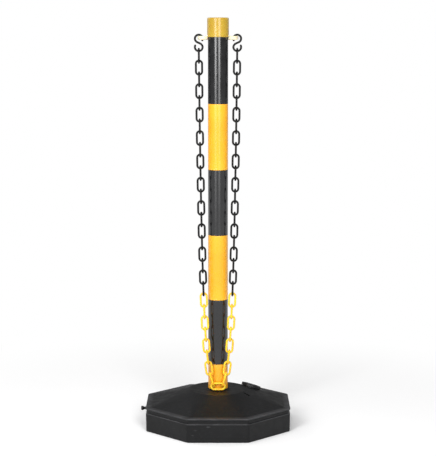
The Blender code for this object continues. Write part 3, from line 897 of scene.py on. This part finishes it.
# The pale bands at the rim's top edge and the wall's top edge are painted highlight lines with some
# wear.
base_plastic = moulded_black(
    "base_blow_moulded", (0.0038, 0.0040, 0.0046), (0.062, 0.062, 0.066), (0.40, 0.52), 0.000008,
    edges=((RIM_TOP - 0.0004, 0.0020), (WALL_TOP - 0.0002, 0.0012)), Specular_IOR_Level=0.26,
)
fill_cap_plastic = moulded_black(
    "fill_cap_moulded", (0.0065, 0.0065, 0.007), (0.028, 0.028, 0.029), (0.38, 0.50), 0.000010,
    Specular_IOR_Level=0.34,
)
seal_rubber = moulded_black(
    "seal_rubber", (0.035, 0.035, 0.034), (0.07, 0.07, 0.068), (0.65, 0.8), 0.000010,
    Specular_IOR_Level=0.3,
)
plug_rubber = moulded_black(
    "plug_rubber", (0.0065, 0.0065, 0.0068), (0.03, 0.03, 0.03), (0.5, 0.62), 0.000010,
    Specular_IOR_Level=0.3,
)
hook_plastic = moulded_black(
    "hook_moulded", (0.0036, 0.0034, 0.0030), (0.024, 0.022, 0.019), (0.34, 0.46), 0.000006,
    Specular_IOR_Level=0.22,
)
link_black = moulded_black(
    "link_black", (0.0034, 0.0034, 0.0036), (0.022, 0.022, 0.022), (0.36, 0.50), 0.000006, True,
    Specular_IOR_Level=0.22,
)
link_yellow = moulded_colour(
    "link_yellow", (0.95, 0.62, 0.030), (0.90, 0.52, 0.020), (1.0, 0.76, 0.18), (0.34, 0.48), True,
    Subsurface_Weight=0.35, Subsurface_Scale=0.004, Specular_IOR_Level=0.4,
)
cap_plastic = moulded_colour(
    "cap_mustard", (0.45, 0.29, 0.026), (0.40, 0.25, 0.020), (0.60, 0.44, 0.10), (0.24, 0.32),
    Subsurface_Weight=0.08, Subsurface_Scale=0.004, Specular_IOR_Level=0.5,
)
ring_plastic = moulded_colour(
    "ring_cream", (0.78, 0.70, 0.52), (0.68, 0.59, 0.40), (0.85, 0.79, 0.64), (0.40, 0.52),
    Subsurface_Weight=0.2, Subsurface_Scale=0.003, Specular_IOR_Level=0.4,
)
TUBE_YELLOW = ((0.90, 0.43, 0.016), (0.84, 0.37, 0.011), (0.96, 0.66, 0.18))
TUBE_BLACK = ((0.0060, 0.0062, 0.0072), (0.0045, 0.0046, 0.0054), (0.035, 0.035, 0.037))


def finish(piece, body, slot, material, *nodes):
    """Gives a piece its material, its CAD body and the nodes it stands for."""
    piece.data.materials.clear()
    piece.data.materials.append(material)
    even_normals(piece)
    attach(piece, body)
    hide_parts(*nodes)


def make_object():
    finish(make_base(), "base", "base_black", base_plastic, "base_shell")
    finish(make_fill_cap(), "fill_cap", "fill_cap_black", fill_cap_plastic, "fill_cap")
    finish(make_seal(), "fill_seal", "seal_rubber", seal_rubber, "fill_cap_seal")
    finish(make_side_plug(), "side_plug", "plug_black", plug_rubber, "side_plug")
    for number in range(1, TUBE_COUNT + 1):
        yellow = number % 2 == 1
        tones = TUBE_YELLOW if yellow else TUBE_BLACK
        length = (WELL_FLOOR, LOWEST_JOINT) if number == 1 else (0.0, TUBE_LENGTH)
        roughness = (0.24, 0.34) if yellow else (0.17, 0.25)
        specular = 0.5 if yellow else 0.75
        material = tube_plastic(
            f"tube_{number}", *tones, roughness, length, Specular_IOR_Level=specular
        )
        slot = "tube_yellow" if yellow else "tube_black"
        finish(make_tube(number), f"tube_{number}", slot, material, f"post_tube_{number}")
    finish(make_ring(), "ring", "ring_cream", ring_plastic, "chain_ring")
    finish(make_cap(), "cap", "cap_yellow", cap_plastic, "top_cap")
    make_hooks_and_chain()


# ---------------------------------------------------------------- floor, light and camera


def make_floor():
    """White paper that fades into an even white away from the object."""
    rings = [circle(radius, FLOOR_LEVEL) for radius in FLOOR_RADII]
    bm = bmesh.new()
    loops = [[bm.verts.new(point) for point in ring] for ring in rings]
    for lower, upper in zip(loops, loops[1:]):
        for i in range(len(lower)):
            j = (i + 1) % len(lower)
            bm.faces.new((lower[i], upper[i], upper[j], lower[j]))
    bm.faces.new(loops[0])
    mesh = bpy.data.meshes.new("floor")
    bm.to_mesh(mesh)
    bm.free()
    floor = place("floor", mesh)
    s = Surface("floor_paper", Roughness=0.9, Specular_IOR_Level=0.1)
    grain = s.spread(s.noise(300.0, 3.0), 0.3, 0.7)
    s.set("Base Color", s.blend(grain, (0.93, 0.93, 0.935), (0.96, 0.96, 0.96)))
    length = s.nodes.new("ShaderNodeVectorMath")
    length.operation = "LENGTH"
    s.links.new(s.space, length.inputs[0])
    far = s.spread(length.outputs["Value"], *FLOOR_FADE)
    glow = s.nodes.new("ShaderNodeEmission")
    glow.inputs["Color"].default_value = (1.0, 1.0, 1.0, 1.0)
    mix = s.nodes.new("ShaderNodeMixShader")
    s.links.new(far, mix.inputs[0])
    s.links.new(s.shader.outputs[0], mix.inputs[1])
    s.links.new(glow.outputs[0], mix.inputs[2])
    s.links.new(mix.outputs[0], s.nodes["Material Output"].inputs["Surface"])
    mesh.materials.append(s.material)


def make_world(strength):
    """Soft light from all round, seen as plain white behind the object."""
    world = bpy.data.worlds.new("studio")
    bpy.context.scene.world = world
    world.use_nodes = True
    nodes, links = world.node_tree.nodes, world.node_tree.links
    soft = nodes["Background"]
    soft.inputs["Color"].default_value = (1.0, 1.0, 1.0, 1.0)
    soft.inputs["Strength"].default_value = strength
    white = nodes.new("ShaderNodeBackground")
    white.inputs["Strength"].default_value = 1.0
    white.inputs["Color"].default_value = (1.0, 1.0, 1.0, 1.0)
    mix = nodes.new("ShaderNodeMixShader")
    path = nodes.new("ShaderNodeLightPath")
    links.new(path.outputs["Is Camera Ray"], mix.inputs[0])
    links.new(soft.outputs[0], mix.inputs[1])
    links.new(white.outputs[0], mix.inputs[2])
    links.new(mix.outputs[0], nodes["World Output"].inputs["Surface"])


def softbox(name, azimuth, distance, low, high, width, radiance):
    """An upright softbox; azimuth 0 is in front (-Y), 90 at the right. It faces the post."""
    light = bpy.data.lights.new(name, "AREA")
    light.shape = "RECTANGLE"
    light.size = width
    light.size_y = high - low
    light.energy = radiance * math.pi * width * (high - low)
    box = bpy.data.objects.new(name, light)
    bpy.context.scene.collection.objects.link(box)
    turn = math.radians(azimuth)
    box.location = (distance * math.sin(turn), -distance * math.cos(turn), (low + high) / 2)
    towards = Vector((-box.location.x, -box.location.y, 0.0))
    box.rotation_euler = towards.to_track_quat("-Z", "Y").to_euler()
    box.visible_camera = False


def overhead(name, location, size, radiance):
    """A square softbox above the object."""
    light = bpy.data.lights.new(name, "AREA")
    light.shape = "SQUARE"
    light.size = size
    light.energy = radiance * math.pi * size * size
    box = bpy.data.objects.new(name, light)
    bpy.context.scene.collection.objects.link(box)
    box.location = location
    aim = Vector((0, 0, 0.3)) - Vector(location)
    box.rotation_euler = aim.to_track_quat("-Z", "Y").to_euler()
    box.visible_camera = False


def make_camera():
    lens = bpy.data.cameras.new("camera")
    camera = bpy.data.objects.new("camera", lens)
    bpy.context.scene.collection.objects.link(camera)
    camera.location = CAMERA_PLACE
    aim = Vector(CAMERA_AIM) - camera.location
    camera.rotation_euler = aim.to_track_quat("-Z", "Y").to_euler()
    lens.lens = LENS
    lens.clip_start, lens.clip_end = 0.05, 100.0
    bpy.context.scene.camera = camera


def make_studio():
    bpy.context.scene.view_settings.view_transform = "Standard"
    make_world(WORLD_STRENGTH)
    make_floor()
    for side, azimuth, share in STRIP_AZIMUTHS:
        for level, low, high, radiance in STRIP_LEVELS:
            name = f"strip_{side}_{level}"
            softbox(name, azimuth, STRIP_DISTANCE, low, high, STRIP_WIDTH, radiance * share)
    softbox("back_left", -128.0, 2.6, 0.9, 2.9, 1.6, 2.2)
    softbox("back_right", 132.0, 2.6, 0.9, 2.9, 1.3, 1.3)
    overhead("top", (-0.4, -0.3, 3.0), 1.8, 2.6)
    make_camera()


make_object()
make_studio()
